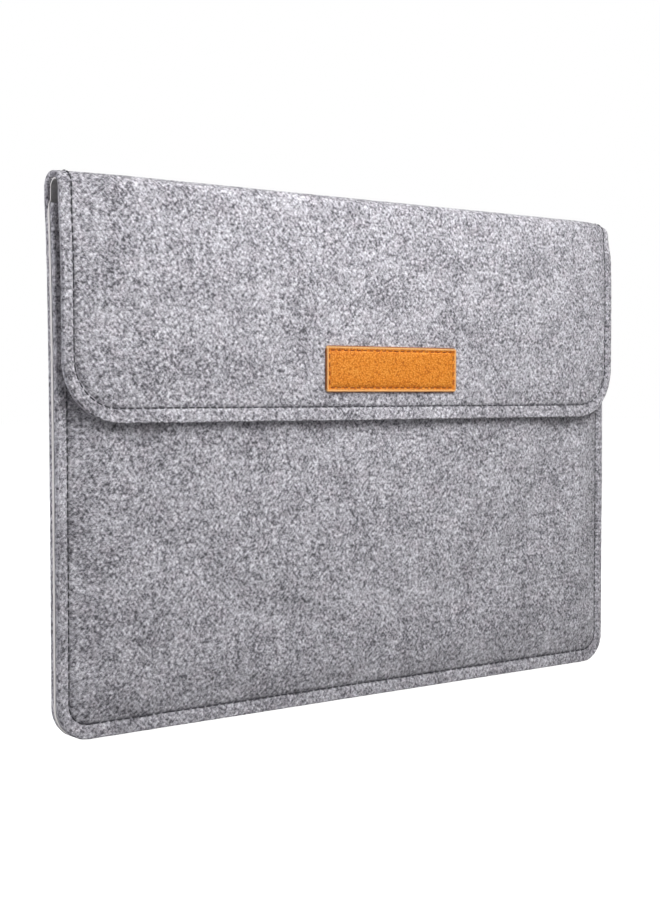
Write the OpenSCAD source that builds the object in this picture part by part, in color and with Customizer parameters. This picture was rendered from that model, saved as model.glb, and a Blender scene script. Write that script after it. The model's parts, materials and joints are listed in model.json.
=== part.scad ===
// Felt laptop sleeve: a flat pocket of two felt sheets with a soft lining, closed by a fold-over flap.
// The back sheet runs over the top as a rounded fold and hangs down in front as the flap.
// X is the width, Y runs from the front to the back and Z is up. The origin is the centre of the
// footprint, at the bottom edge. Depths are measured from the seam plane, where both sheets meet.

/* [Body] */
// Width of the sleeve, cut edge to cut edge
body_w = 351; // [342:1:360]
// Height from the bottom edge to the top of the fold
body_h = 252; // [248:1:258]
// Radius of the two bottom corners
corner_r = 15; // [13:1:20]
// Free depth of the laptop compartment between the linings
pocket_d = 11.8; // [11.6:0.1:12.4]
// How far the front sheet's face stands in front of the seam plane
front_d = 6.8; // [6.6:0.1:7]
// Depth of the gap from the top of the fold down to the mouth of the pocket
mouth_drop = 14; // [14:0.5:16]
// How far the side seams curve back at their top ends
seam_lean = 3.2; // [2.8:0.1:3.4]

/* [Cloth] */
// Thickness of the felt
felt_t = 2.8; // [2.6:0.1:2.9]
// Thickness of the soft lining
lining_t = 0.8; // [0.6:0.1:0.8]
// How far the lining stops short of the felt's edges on the flap and the fold
lining_inset = 1.5; // [1:0.5:3]

/* [Flap] */
// Height from the flap's lower edge to the top of the fold
flap_drop = 111; // [105:1:116]
// Radius of the flap's two lower corners
flap_corner_r = 28; // [24:1:32]
// How far the flap's side edges curve back towards the pocket
flap_bow = 2.6; // [2:0.1:2.7]
// Outer radius of each bend of the fold
fold_r = 7; // [6.5:0.1:7]

/* [Label] */
// Width of the leather label
label_w = 86; // [80:1:90]
// Height of the leather label
label_h = 23; // [20:0.5:24]
// Thickness of the leather label
label_t = 1.3; // [1:0.1:1.5]
// Distance of the label's centre to the right of the flap's centre
label_x = 8.5; // [0:0.5:10]
// Distance from the flap's lower edge up to the label's lower edge
label_rise = 14; // [12:0.5:18]

/* [Closure] */
// Width of each loop tape
tape_w = 64; // [50:1:64]
// Height of each loop tape
tape_h = 20; // [16:0.5:20]
// Distance of each tape's centre from the middle of the sleeve
tape_x = 92; // [85:1:92]
// Thickness of the woven backing of a tape
tape_t = 0.5; // [0.4:0.1:0.6]
// Depth in which the hooks and the loops hold each other
grip_d = 0.9; // [0.9:0.1:1.1]

/* [Stitching] */
// Radius of the sewing thread
thread_r = 0.32; // [0.25:0.01:0.34]
// Length of one visible stitch
stitch_len = 3.1; // [2.4:0.1:3.2]
// Distance from one stitch to the next
stitch_pitch = 4; // [3.8:0.1:5]
// Distance from the side edges to the seam stitching
seam_inset = 5.5; // [5.2:0.1:5.8]
// Distance from the bottom edge to the seam stitching
bottom_inset = 6.9; // [6.4:0.1:7.2]
// Distance from the flap's lower edge to its stitching
flap_inset = 7; // [6.4:0.1:7.5]

/* [Hidden] */

felt_grey = [0.70, 0.69, 0.71];
lining_grey = [0.80, 0.79, 0.79];
thread_grey = [0.22, 0.22, 0.24];
tape_grey = [0.33, 0.33, 0.35];
leather_tan = [0.88, 0.55, 0.22];
leather_thread = [0.62, 0.33, 0.12];

ply_gap = 0.05;                                  // air between two plies of cloth
thread_lift = 0.12;                              // air between a stitch and the cloth under it
bend_lift = 0.3;                                 // air under the ends of a straight stitch on a bend
trim = 1;                                        // how far a sheet runs past the outline that trims it
seam_stack = lining_t + 2 * ply_gap;             // from the seam plane to a felt sheet's inner face
back_d = pocket_d + 2 * (felt_t + lining_t + ply_gap) - front_d;
lean_power = 5;                                  // how late the side seams start to curve back
crown_start = seam_inset + 1;                    // the flat border ends just inside the stitching
crown_run = 16;                                  // width of the rounded rise inside the border
rise_steps = 5;                                  // rows of points across that rise
flat_x = body_w / 2 - crown_start - crown_run;   // half width of the sheets' flat middle
border_z = bottom_inset + 1;                     // height at which the flat border at the bottom ends
flat_z = border_z + crown_run;                   // height at which the flat middle starts

mouth_z = body_h - mouth_drop;
fold_z = body_h - fold_r;                        // height of the centres of both bends
fold_back = 7;                                   // depth of the fold's rear face
fold_front = 11;                                 // depth of the fold's front face
fold_pinch = 3.6;                                 // how far that face draws back at both ends
pinch_start = 145;                               // distance from the middle at which it starts to draw back
bend_split = 45;                                 // angle at which a bend is divided between two bodies
bend_gap = 0.5;                                  // half of the angle left free at that division
bend_steps = 3;                                  // rows of points round half a bend
top_half = 1;                                    // half the length of the stitch on top of the fold

flap_z = body_h - flap_drop;
flap_d = front_d + 3 * ply_gap + 2 * tape_t + grip_d + lining_t; // depth of the flap felt's inner face
bow_start = 125;                                 // distance from the middle at which the flap starts to curve
flap_ease = 26;                                  // height over which the flap leaves the fold
label_z = flap_z + label_rise + label_h / 2;
tape_z = flap_z + 17;
hook_margin = 2;                                 // how much smaller a hook tape is on each side
tape_inset = 1.2;                                // distance from a tape's edge to its stitching
mouth_inset = 7;                                 // distance from the mouth down to its stitching
label_inset = 2;                                 // distance from the label's edge to its stitching

front_reach = flap_d + felt_t + ply_gap + label_t + thread_lift + 2 * thread_r;
seam_y = (front_reach - back_d) / 2;             // puts the origin midway between front and back

function lerp(a, b, t) = a + (b - a) * t;
function limit(t) = min(max(t, 0), 1);
function smooth(t) = let (c = limit(t)) c * c * (3 - 2 * c);
function mirrored(half) = concat([for (i = [len(half) - 1:-1:1]) -half[i]], half);

// ---- The shape of the two sheets, as depths from the seam plane ----

// Distance inwards from the body's outline, which is rounded at the bottom and open at the top
function edge_distance(x, z) =
    let (past_x = abs(x) - (body_w / 2 - corner_r), past_z = corner_r - z)
    past_x > 0 && past_z > 0 ? corner_r - norm([past_x, past_z]) : min(body_w / 2 - abs(x), z);

// 0 on the flat border, rising to 1 over the flat middle
function crown(x, z) = smooth((edge_distance(x, z - bottom_inset + seam_inset) - crown_start) / crown_run);

// The side seams curve back towards the fold
function seam_at(z) = seam_lean * pow(max(z, 0) / fold_z, lean_power);

// Depths of the felt sheets' inner faces: the front sheet lies towards -Y, the back sheet towards +Y
function front_inner(x, z) = lerp(seam_at(z) - seam_stack, felt_t - front_d, crown(x, z));
function back_pocket(x, z) = lerp(seam_at(z) + seam_stack, back_d - felt_t, crown(x, z));
function back_inner(x, z) =
    lerp(back_pocket(x, z), fold_back - felt_t, smooth((z - mouth_z) / (fold_z - mouth_z)));

// Depth of the fold's front face, which draws back at both ends
function fold_face(x) =
    fold_front - fold_pinch * pow(max(0, abs(x) - pinch_start) / (body_w / 2 - pinch_start), 2);

// Depth of the flap felt's inner face, which bows back at the sides and eases into the fold at the top
function flap_level(x) = flap_d - flap_bow * pow(max(0, abs(x) - bow_start) / (body_w / 2 - bow_start), 2);
function flap_inner(x, z) = -lerp(fold_face(x) - felt_t, flap_level(x), smooth((fold_z - z) / flap_ease));

// ---- Sheets of cloth ----

rise = [for (i = [0:rise_steps]) i * crown_run / rise_steps];
pocket_x = mirrored(concat([for (i = [0:2]) i * flat_x / 3], [for (r = rise) flat_x + r], [body_w / 2 + trim]));
pocket_z = concat([-trim], [for (r = rise) border_z + r], [for (i = [1:6]) lerp(flat_z, mouth_z, sqrt(i / 6))]);
upper_z = [for (i = [1:3]) lerp(mouth_z, fold_z, i / 3)];
flap_x = mirrored(concat([0, bow_start / 2], [for (i = [0:6]) lerp(bow_start, body_w / 2 + trim, i / 6)]));
flap_rows = concat([flap_z - trim, flap_z + 40], [for (i = [0:5]) lerp(fold_z - flap_ease, fold_z, i / 5)]);
bend_angles = [for (i = [1:bend_steps]) i * (bend_split - bend_gap) / bend_steps];

// Rows of points over x at the given heights, at the depth that depth(x, z) gives plus an offset
function rows(xs, zs, depth, offset) = [for (z = zs) [for (x = xs) [x, depth(x, z) + offset, z]]];

// Depth of the centre of a bend; side is 1 for the rear bend and -1 for the front bend
function bend_y(x, side) = side > 0 ? fold_back - fold_r : fold_r - fold_face(x);

// Rows of points round a bend
function bend_rows(xs, angles, side, r) =
    [for (a = angles) [for (x = xs) [x, bend_y(x, side) + side * r * cos(a), fold_z + r * sin(a)]]];

// A closed sheet between two grids of points; near is the grid on the -Y side
module sheet(near, far) {
    cols = len(near[0]);
    last_c = cols - 1;
    last_r = len(near) - 1;
    back = cols * (last_r + 1);
    function id(r, c) = r * cols + c;
    faces = [
        for (r = [0:last_r - 1], c = [0:last_c - 1]) each [
            [id(r, c), id(r + 1, c), id(r + 1, c + 1)],
            [id(r, c), id(r + 1, c + 1), id(r, c + 1)],
            [back + id(r, c), back + id(r + 1, c + 1), back + id(r + 1, c)],
            [back + id(r, c), back + id(r, c + 1), back + id(r + 1, c + 1)]
        ],
        for (r = [0:last_r - 1]) each [
            [id(r, 0), back + id(r, 0), back + id(r + 1, 0)],
            [id(r, 0), back + id(r + 1, 0), id(r + 1, 0)],
            [id(r, last_c), back + id(r + 1, last_c), back + id(r, last_c)],
            [id(r, last_c), id(r + 1, last_c), back + id(r + 1, last_c)]
        ],
        for (c = [0:last_c - 1]) each [
            [id(0, c), id(0, c + 1), back + id(0, c + 1)],
            [id(0, c), back + id(0, c + 1), back + id(0, c)],
            [id(last_r, c), back + id(last_r, c + 1), id(last_r, c + 1)],
            [id(last_r, c), back + id(last_r, c), back + id(last_r, c + 1)]
        ]
    ];
    polyhedron(points = [for (r = concat(near, far)) each r], faces = faces);
}

// A prism along Y: an upright outline with rounded lower corners, wide enough in Y to trim any sheet
module outline(w, low, r) {
    depth = 60;
    rotate([90, 0, 0]) linear_extrude(depth, center = true) {
        translate([-w / 2, low + r]) square([w, body_h - low]);
        translate([-w / 2 + r, low]) square([w - 2 * r, 2 * r]);
        for (side = [-1, 1]) translate([side * (w / 2 - r), low + r]) circle(r, $fn = 96);
    }
}

module pocket_sheet(zs, depth, near_by, far_by) {
    intersection() {
        sheet(rows(pocket_x, zs, depth, near_by), rows(pocket_x, zs, depth, far_by));
        outline(body_w, 0, corner_r);
    }
}

// The back sheet carries on into the first part of the rear bend
module back_sheet(near_by, far_by) {
    zs = concat(pocket_z, upper_z);
    inner_r = fold_r - felt_t;
    intersection() {
        sheet(
            concat(rows(pocket_x, zs, function(x, z) back_inner(x, z), near_by),
                bend_rows(pocket_x, bend_angles, 1, inner_r + near_by)),
            concat(rows(pocket_x, zs, function(x, z) back_inner(x, z), far_by),
                bend_rows(pocket_x, bend_angles, 1, inner_r + far_by)));
        outline(body_w, 0, corner_r);
    }
}

// The flap starts with the last part of the front bend; edge is how far it is cut back all round
module flap_sheet(near_by, far_by, edge = 0) {
    inner_r = fold_r - felt_t;
    intersection() {
        sheet(
            concat(rows(flap_x, flap_rows, function(x, z) flap_inner(x, z), near_by),
                bend_rows(flap_x, bend_angles, -1, inner_r - near_by)),
            concat(rows(flap_x, flap_rows, function(x, z) flap_inner(x, z), far_by),
                bend_rows(flap_x, bend_angles, -1, inner_r - far_by)));
        outline(body_w - 2 * edge, flap_z + edge, flap_corner_r - edge);
    }
}

// The strip over the top, from the division of one bend to the division of the other
module fold_strip(outer_r, inner_r, edge = 0) {
    from = bend_split + bend_gap;
    up = [for (i = [0:bend_steps]) lerp(from, 90, i / bend_steps)];
    down = [for (i = [bend_steps:-1:0]) up[i]];
    intersection() {
        sheet(
            concat(bend_rows(flap_x, up, 1, inner_r), bend_rows(flap_x, down, -1, inner_r)),
            concat(bend_rows(flap_x, up, 1, outer_r), bend_rows(flap_x, down, -1, outer_r)));
        outline(body_w - 2 * edge, 0, corner_r);
    }
}

// ---- Stitching ----

// One visible stitch from point a to point b
module stitch(a, b) {
    v = b - a;
    translate(a) rotate([0, acos(v.z / norm(v)), atan2(v.y, v.x)]) cylinder(h = norm(v), r = thread_r, $fn = 16);
}

// Stitches spaced along a line from a to b
module straight_stitches(a, b) {
    count = floor(norm(b - a) / stitch_pitch);
    step = (b - a) / count;
    half = step * stitch_len / norm(step) / 2;
    for (i = [0:count - 1]) stitch(a + step * (i + 0.5) - half, a + step * (i + 0.5) + half);
}

// A box of stitches in the plane at depth y, on the side that out points to (-1 is the front)
module stitched_box(w, h, y, out) {
    at = y + out * (thread_lift + thread_r);
    clear = stitch_pitch / 2 - stitch_len / 2;
    for (z = [-h / 2, h / 2]) straight_stitches([-w / 2, at, z], [w / 2, at, z]);
    for (x = [-w / 2, w / 2]) straight_stitches([x, at, -h / 2 + clear], [x, at, h / 2 - clear]);
}

// A U-shaped path down the left side, along the bottom and up the right side
function u_length(half_w, low, top, r) = 2 * (top - low - r) + PI * r + 2 * (half_w - r);
function u_point(s, half_w, low, top, r) =
    let (side = top - low - r, arc = PI / 2 * r, base = 2 * (half_w - r), turn = 180 / PI / r)
    s < side ? [-half_w, top - s]
    : s < side + arc ? [r - half_w - r * cos((s - side) * turn), low + r - r * sin((s - side) * turn)]
    : s < side + arc + base ? [r - half_w + s - side - arc, low]
    : s < side + 2 * arc + base
        ? let (a = (s - side - arc - base) * turn) [half_w - r + r * sin(a), low + r - r * cos(a)]
    : [half_w, low + r + s - side - 2 * arc - base];

// Stitches along that path on the face that depth(x, z) gives, on the side that out points to
module u_stitches(half_w, low, top, r, depth, out) {
    total = u_length(half_w, low, top, r);
    count = floor(total / stitch_pitch);
    lift = out * (thread_lift + thread_r);
    function on_face(s) =
        let (p = u_point(s, half_w, low, top, r)) [p.x, depth(p.x, p.y) + lift, p.y];
    for (i = [0:count - 1]) {
        middle = (i + 0.5) * total / count;
        stitch(on_face(middle - stitch_len / 2), on_face(middle + stitch_len / 2));
    }
}

// A stitch on the outside of a bend at both side seams
module bend_stitches(side, angle) {
    r = fold_r + thread_r + bend_lift;
    half = stitch_len / 2 / r * 180 / PI;
    function on_bend(x, a) = [x, bend_y(x, side) + side * r * cos(a), fold_z + r * sin(a)];
    for (x = [-1, 1] * (body_w / 2 - seam_inset))
        stitch(on_bend(x, angle - half), on_bend(x, angle + half));
}

// ---- Sub-parts, at their depths from the seam plane ----

module placed() { translate([0, seam_y, 0]) children(); }

module back_panel() { color(felt_grey) placed() back_sheet(0, felt_t); }
module back_lining() { color(lining_grey) placed() back_sheet(-ply_gap - lining_t, -ply_gap); }

module front_panel() {
    color(felt_grey) placed() pocket_sheet(pocket_z, function(x, z) front_inner(x, z), -felt_t, 0);
}

module front_lining() {
    color(lining_grey) placed()
        pocket_sheet(pocket_z, function(x, z) front_inner(x, z), ply_gap, ply_gap + lining_t);
}

module seam_thread_front() {
    color(thread_grey) placed()
        u_stitches(body_w / 2 - seam_inset, bottom_inset, mouth_z - 2, corner_r - seam_inset,
            function(x, z) front_inner(x, z) - felt_t, -1);
}

module seam_thread_back() {
    color(thread_grey) placed() {
        u_stitches(body_w / 2 - seam_inset, bottom_inset, fold_z, corner_r - seam_inset,
            function(x, z) back_inner(x, z) + felt_t, 1);
        bend_stitches(1, bend_split / 2);
    }
}

module mouth_thread() {
    at = -front_d - thread_lift - thread_r;
    z = mouth_z - mouth_inset;
    color(thread_grey) placed() straight_stitches([-flat_x, at, z], [flat_x, at, z]);
}

// A tape's backing; its near face is at depth y
module tape(side, w, h, y) { translate([side * tape_x - w / 2, y, tape_z - h / 2]) cube([w, tape_t, h]); }

loop_y = -front_d - ply_gap - tape_t;
hook_y = loop_y - grip_d - tape_t;
hook_w = tape_w - 2 * hook_margin;
hook_h = tape_h - 2 * hook_margin;

module loop_tape_left() { color(tape_grey) placed() tape(-1, tape_w, tape_h, loop_y); }
module loop_tape_right() { color(tape_grey) placed() tape(1, tape_w, tape_h, loop_y); }
module hook_tape_left() { color(tape_grey) placed() tape(-1, hook_w, hook_h, hook_y); }
module hook_tape_right() { color(tape_grey) placed() tape(1, hook_w, hook_h, hook_y); }

// The boxes of stitches that hold a pair of tapes, on the gripping side of each
module tape_stitches(w, h, y, out) {
    for (side = [-1, 1])
        translate([side * tape_x, 0, tape_z]) stitched_box(w - 2 * tape_inset, h - 2 * tape_inset, y, out);
}

module loop_tape_thread() { color(thread_grey) placed() tape_stitches(tape_w, tape_h, loop_y, -1); }
module hook_tape_thread() { color(thread_grey) placed() tape_stitches(hook_w, hook_h, hook_y + tape_t, 1); }

module fold_felt() { color(felt_grey) placed() fold_strip(fold_r, fold_r - felt_t); }

module fold_lining() {
    outer_r = fold_r - felt_t - ply_gap;
    color(lining_grey) placed() fold_strip(outer_r, outer_r - lining_t, lining_inset);
}

module fold_thread() {
    color(thread_grey) placed() {
        bend_stitches(1, 90 - bend_split / 2);
        bend_stitches(-1, 90 - bend_split / 2);
        for (x = [-1, 1] * (body_w / 2 - seam_inset))
            translate([x, (bend_y(x, 1) + bend_y(x, -1)) / 2, body_h + thread_lift + thread_r])
                stitch([0, -top_half, 0], [0, top_half, 0]);
    }
}

module flap_felt() { color(felt_grey) placed() flap_sheet(-felt_t, 0); }
module flap_facing() { color(lining_grey) placed() flap_sheet(ply_gap, ply_gap + lining_t, lining_inset); }

module flap_thread() {
    color(thread_grey) placed() {
        u_stitches(body_w / 2 - seam_inset, flap_z + flap_inset, fold_z, flap_corner_r - flap_inset,
            function(x, z) flap_inner(x, z) - felt_t, -1);
        bend_stitches(-1, bend_split / 2);
    }
}

module label_place() { translate([label_x, -flap_d - felt_t - ply_gap, label_z]) children(); }

module label() {
    r = 2;
    color(leather_tan) placed() label_place() rotate([90, 0, 0]) linear_extrude(label_t) {
        square([label_w - 2 * r, label_h], center = true);
        square([label_w, label_h - 2 * r], center = true);
        for (x = [-1, 1], z = [-1, 1])
            translate([x * (label_w / 2 - r), z * (label_h / 2 - r)]) circle(r, $fn = 32);
    }
}

module label_thread() {
    color(leather_thread) placed() label_place()
        stitched_box(label_w - 2 * label_inset, label_h - 2 * label_inset, -label_t, -1);
}

back_panel();
front_panel();
back_lining();
front_lining();
seam_thread_front();
seam_thread_back();
mouth_thread();
loop_tape_left();
loop_tape_right();
loop_tape_thread();
fold_felt();
fold_lining();
fold_thread();
flap_felt();
flap_facing();
flap_thread();
label();
label_thread();
hook_tape_left();
hook_tape_right();
hook_tape_thread();
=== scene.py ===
import json
import math

import bpy
import numpy as np
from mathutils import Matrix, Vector, noise


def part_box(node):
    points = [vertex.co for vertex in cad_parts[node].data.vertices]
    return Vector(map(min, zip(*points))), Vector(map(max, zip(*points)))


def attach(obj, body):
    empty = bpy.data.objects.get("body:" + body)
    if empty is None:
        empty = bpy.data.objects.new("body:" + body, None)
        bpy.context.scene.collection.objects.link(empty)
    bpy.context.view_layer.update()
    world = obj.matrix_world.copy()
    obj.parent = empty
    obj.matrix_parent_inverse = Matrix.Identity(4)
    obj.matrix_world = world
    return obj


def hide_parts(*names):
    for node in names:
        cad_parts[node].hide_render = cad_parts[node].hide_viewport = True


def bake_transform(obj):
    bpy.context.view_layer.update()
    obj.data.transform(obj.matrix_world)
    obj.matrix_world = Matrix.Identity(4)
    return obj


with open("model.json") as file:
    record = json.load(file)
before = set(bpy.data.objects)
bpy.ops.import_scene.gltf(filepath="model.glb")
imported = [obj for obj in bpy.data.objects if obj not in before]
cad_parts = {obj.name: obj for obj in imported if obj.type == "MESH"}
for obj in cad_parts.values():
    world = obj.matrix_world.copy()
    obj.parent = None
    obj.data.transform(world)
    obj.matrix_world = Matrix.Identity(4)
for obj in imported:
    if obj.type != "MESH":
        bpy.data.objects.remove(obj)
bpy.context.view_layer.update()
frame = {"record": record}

# A felt laptop sleeve. Every soft piece is a sheet: a smooth face over (x, v), where v runs along the cloth,
# given thickness, soft cut edges and felted lumps. The big sheets are settled by cloth simulation first.

MM = 0.001


def low(node):
    return np.array(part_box(node)[0], float)


def high(node):
    return np.array(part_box(node)[1], float)


# ---- Places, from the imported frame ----

HALF_W = high("back_panel")[0]
TOP = high("fold_felt")[2]
MOUTH = high("front_panel")[2]
FLAP_LOW = low("flap_felt")[2]
FRONT_Y = low("front_panel")[1]
BACK_Y = high("back_panel")[1]
FLAP_Y = low("flap_felt")[1]
JOINTS = {j["name"]: j for j in frame["record"]["behaviour"]["joints"]}
REAR_HINGE = JOINTS["rear_bend"]["pos_m"]
FRONT_HINGE = JOINTS["front_bend"]["pos_m"]

FOLD_R = 7 * MM                                  # outer radius of both bends
FOLD_Z = TOP - FOLD_R
REAR_C = REAR_HINGE[1] + (1 - math.pi / 4) * FOLD_R - FOLD_R    # y of the rear bend's centre
FRONT_C = FRONT_HINGE[1] - (1 - math.pi / 4) * FOLD_R + FOLD_R  # y of the front bend's centre
SPLIT_Y = REAR_C                                 # where the felt is divided, on top of the fold
REAR_FACE = REAR_C + FOLD_R
FRONT_FACE = FRONT_C - FOLD_R
BEND_LEN = math.pi / 2 * FOLD_R

FELT_T = 2.8 * MM
LINING_T = 0.8 * MM
PLY_GAP = 0.05 * MM
PLIES = FELT_T + LINING_T + 2 * PLY_GAP          # felt and lining, with the gaps on both sides of the lining
SEAM_Y = FRONT_Y + 6.8 * MM                      # the plane in which the front and back meet
SEAM_LEAN = 3.2 * MM                             # how far the side seams curve back at the top
SEAM_INSET = 5.5 * MM
BOTTOM_INSET = 6.9 * MM
CORNER_R = 15 * MM
FLAP_CORNER_R = 28 * MM
FLAP_INSET = 7 * MM
FLAP_BOW = 2.6 * MM                              # how far the flap's sides curve back
LINING_INSET = 1.5 * MM                          # how far the lining stops short of the edges of flap and fold
LINING_PROUD = 0.2 * MM
FOLD_PINCH = 3.6 * MM                            # how far the fold's front draws back at both ends
MOUTH_INSET = 7 * MM
STITCH_PITCH = 4.0 * MM
STITCH_LEN = 3.6 * MM
THREAD_R = 0.34 * MM


# ---- Small helpers ----

def smooth(t):
    t = np.clip(t, 0, 1)
    return t * t * (3 - 2 * t)


def mix(a, b, t):
    return a + (b - a) * t


def rounded_distance(x, v, corner):
    """How far a point lies inside an outline of half width HALF_W that is rounded at its lower corners."""
    past_x = np.abs(x) - (HALF_W - corner)
    past_v = corner - v
    straight = np.minimum(HALF_W - np.abs(x), v)
    around = corner - np.hypot(np.maximum(past_x, 0), np.maximum(past_v, 0))
    return np.where((past_x > 0) & (past_v > 0), around, straight)


def rounded_half(v, corner):
    """The half width of that outline at height v."""
    rise = np.clip(corner - v, 0, corner)
    return HALF_W - corner + np.sqrt(corner**2 - rise**2)


def noise_at(points, scale, seed):
    """Smooth noise from -1 to 1 at points in metres; scale is the size of its features."""
    offset = Vector((seed, -seed, 2 * seed))
    flat = np.asarray(points, float).reshape(-1, 3) / scale
    values = [noise.noise(Vector(p) + offset) for p in flat]
    return np.array(values).reshape(np.shape(points)[:-1])


# ---- Settling the sheets by cloth simulation ----

GRID_STEP = 5 * MM
FRAMES = 20


class Drape:
    """How far a sheet moved out of its pattern when it settled, over a grid of x and v."""

    def __init__(self, width, length):
        self.xs = np.linspace(-width, width, int(2 * width / GRID_STEP) + 1)
        self.vs = np.linspace(0, length, int(length / GRID_STEP) + 1)
        self.rise = np.zeros((len(self.vs), len(self.xs)))

    def grid(self):
        return np.meshgrid(self.xs, self.vs)

    def settle(self, name, face, held, pressure, slack, cap):
        """Runs Blender's cloth on the sheet, and keeps how far each point moved, eased off towards cap.

        held gives how firmly each point is pinned, from 0 to 1; slack is by what share the cloth is too large.
        """
        x, v = self.grid()
        rest = face(x, v)
        rows, cols = x.shape
        ids = np.arange(rows * cols).reshape(rows, cols)
        quads = np.stack([ids[:-1, :-1], ids[:-1, 1:], ids[1:, 1:], ids[1:, :-1]], -1).reshape(-1, 4)
        mesh = bpy.data.meshes.new(name)
        mesh.from_pydata(rest.reshape(-1, 3).tolist(), [], quads.tolist())
        sheet = bpy.data.objects.new(name, mesh)
        bpy.context.scene.collection.objects.link(sheet)
        pins = sheet.vertex_groups.new(name="pins")
        for i, weight in enumerate(held(x, v).ravel()):
            pins.add([i], float(weight), "REPLACE")
        cloth = sheet.modifiers.new("cloth", "CLOTH")
        s = cloth.settings
        s.quality = 6
        s.mass = 0.25
        s.tension_stiffness = 12
        s.compression_stiffness = 12
        s.shear_stiffness = 6
        s.bending_stiffness = 6
        s.air_damping = 6
        s.vertex_group_mass = "pins"
        s.use_pressure = True
        s.uniform_pressure_force = pressure
        s.shrink_min = -slack
        s.effector_weights.gravity = 0
        cloth.collision_settings.use_collision = False
        scene = bpy.context.scene
        cloth.point_cache.frame_start = 1
        cloth.point_cache.frame_end = FRAMES
        for number in range(1, FRAMES + 1):
            scene.frame_set(number)
        settled = sheet.evaluated_get(bpy.context.evaluated_depsgraph_get()).to_mesh()
        moved = np.array([p.co for p in settled.vertices]).reshape(rows, cols, 3)[..., 1] - rest[..., 1]
        sheet.evaluated_get(bpy.context.evaluated_depsgraph_get()).to_mesh_clear()
        bpy.data.objects.remove(sheet)
        bpy.data.meshes.remove(mesh)
        scene.frame_set(1)
        self.rise = cap * np.tanh(moved / cap)

    def at(self, x, v):
        """The rise at any points, interpolated over the grid."""
        col = np.clip((x - self.xs[0]) / (self.xs[1] - self.xs[0]), 0, len(self.xs) - 1.001)
        row = np.clip(v / (self.vs[1] - self.vs[0]), 0, len(self.vs) - 1.001)
        c, r = col.astype(int), row.astype(int)
        s, t = smooth(col - c), smooth(row - r)
        below = mix(self.rise[r, c], self.rise[r, c + 1], s)
        above = mix(self.rise[r + 1, c], self.rise[r + 1, c + 1], s)
        return mix(below, above, t)


# ---- The faces of the three big sheets ----

PUFF_START = SEAM_INSET + 0.4 * MM               # where a face starts to rise from its border
PUFF_RUN = 18 * MM                               # how far in it is fully raised
GROOVE_W = 0.9 * MM
GROOVE_D = 0.65 * MM
FLARE = 0.35 * MM                                # how far a border stands out again outside its stitching
DROOP = 1.6 * MM                                 # how far the fold has softened downwards at its right end
DROOP_START = 160 * MM


def seam_lean(v):
    return SEAM_LEAN * (np.clip(v, 0, FOLD_Z) / FOLD_Z) ** 5


def seam_pull(distance, inset):
    """1 along a row of stitches, falling to 0 beside it."""
    return np.exp(-(((distance - inset) / GROOVE_W) ** 2))


def groove(distance, inset):
    """The dent that a row of stitches pulls into the cloth."""
    return GROOVE_D * seam_pull(distance, inset)


def puff(distance):
    return np.sin(np.pi / 2 * np.clip((distance - PUFF_START) / PUFF_RUN, 0, 1))


def flare(distance, inset):
    return FLARE * (1 - smooth(distance / inset))


DENT_REACH = 1.5 * MM                            # depth in the cloth at which the dents of stitches have died out


class Sheet:
    """A sheet's outer face. side is 1 where x then v turn towards the outside.

    place(x, v, dents) gives its points, with the dents of its stitching or, at dents = 0, without them.
    pull(x, v) is how firmly stitches press the cloth there, from 0 to 1; the felt is darkened by it as painted
    shade along its stitching.
    """

    def __init__(self, place, side, pull=None):
        self.place = place
        self.side = side
        self.pull = pull or (lambda x, v: 0 * x)

    def normal(self, x, v):
        """The outward direction, taken from the face without dents."""
        step = 0.05 * MM
        along_x = self.place(x + step, v, 0) - self.place(x - step, v, 0)
        along_v = self.place(x, v + step, 0) - self.place(x, v - step, 0)
        n = np.cross(along_x, along_v) * self.side
        return n / np.linalg.norm(n, axis=-1, keepdims=True)

    def inside(self, x, v, depth):
        """The layer at a depth below the face, or above it where depth is less than 0."""
        return self.place(x, v, min(1, max(0, 1 - depth / DENT_REACH))) - self.normal(x, v) * depth


def towards_end(x, start):
    """0 over the middle of the sleeve, rising from start to 1 at both ends."""
    return (np.maximum(0, np.abs(x) - start) / (HALF_W - start)) ** 2


def droop(x, z):
    return DROOP * towards_end(np.maximum(x, 0), DROOP_START) * smooth((z - MOUTH) / (TOP - MOUTH))


def pocket_distance(x, v):
    """Distance from the pocket's edge, less the extra width of the border along the bottom."""
    return rounded_distance(x, v - BOTTOM_INSET + SEAM_INSET, CORNER_R)


def front_plain(x, v, dents=1):
    d = pocket_distance(x, v)
    edge = SEAM_Y + seam_lean(v) - PLIES
    y = mix(edge, FRONT_Y + 0 * x, puff(d)) + dents * (groove(d, SEAM_INSET) - flare(d, SEAM_INSET))
    return np.stack([x, y, v], -1)


def back_plain(x, v, dents=1):
    """Up the back, round the rear bend and on to the middle of the fold."""
    d = pocket_distance(x, v)
    edge = SEAM_Y + seam_lean(v) + PLIES
    pocket = mix(edge, BACK_Y + 0 * x, puff(d)) - dents * groove(d, SEAM_INSET)
    y = mix(pocket, REAR_FACE, smooth((v - MOUTH + 12 * MM) / (FOLD_Z - MOUTH + 12 * MM)))
    turn = np.clip((v - FOLD_Z) / FOLD_R, 0, math.pi / 2)
    flat = np.maximum(v - FOLD_Z - BEND_LEN, 0)
    y = np.where(v > FOLD_Z, REAR_C + FOLD_R * np.cos(turn) - flat, y)
    z = np.where(v > FOLD_Z, FOLD_Z + FOLD_R * np.sin(turn), v)
    return np.stack([x, y, z - droop(x, z)], -1)


FLAP_STRAIGHT = FOLD_Z - FLAP_LOW                # length of the flap below the bend
FLAP_PUFF = 0.5 * MM
FLAP_EASE = 28 * MM                              # how far below the bend the flap reaches its own level, mid-width
EASE_SLANT = 12 * MM                             # how much sooner it does at the right end
BOW_START = 118 * MM
PINCH_START = 135 * MM


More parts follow.
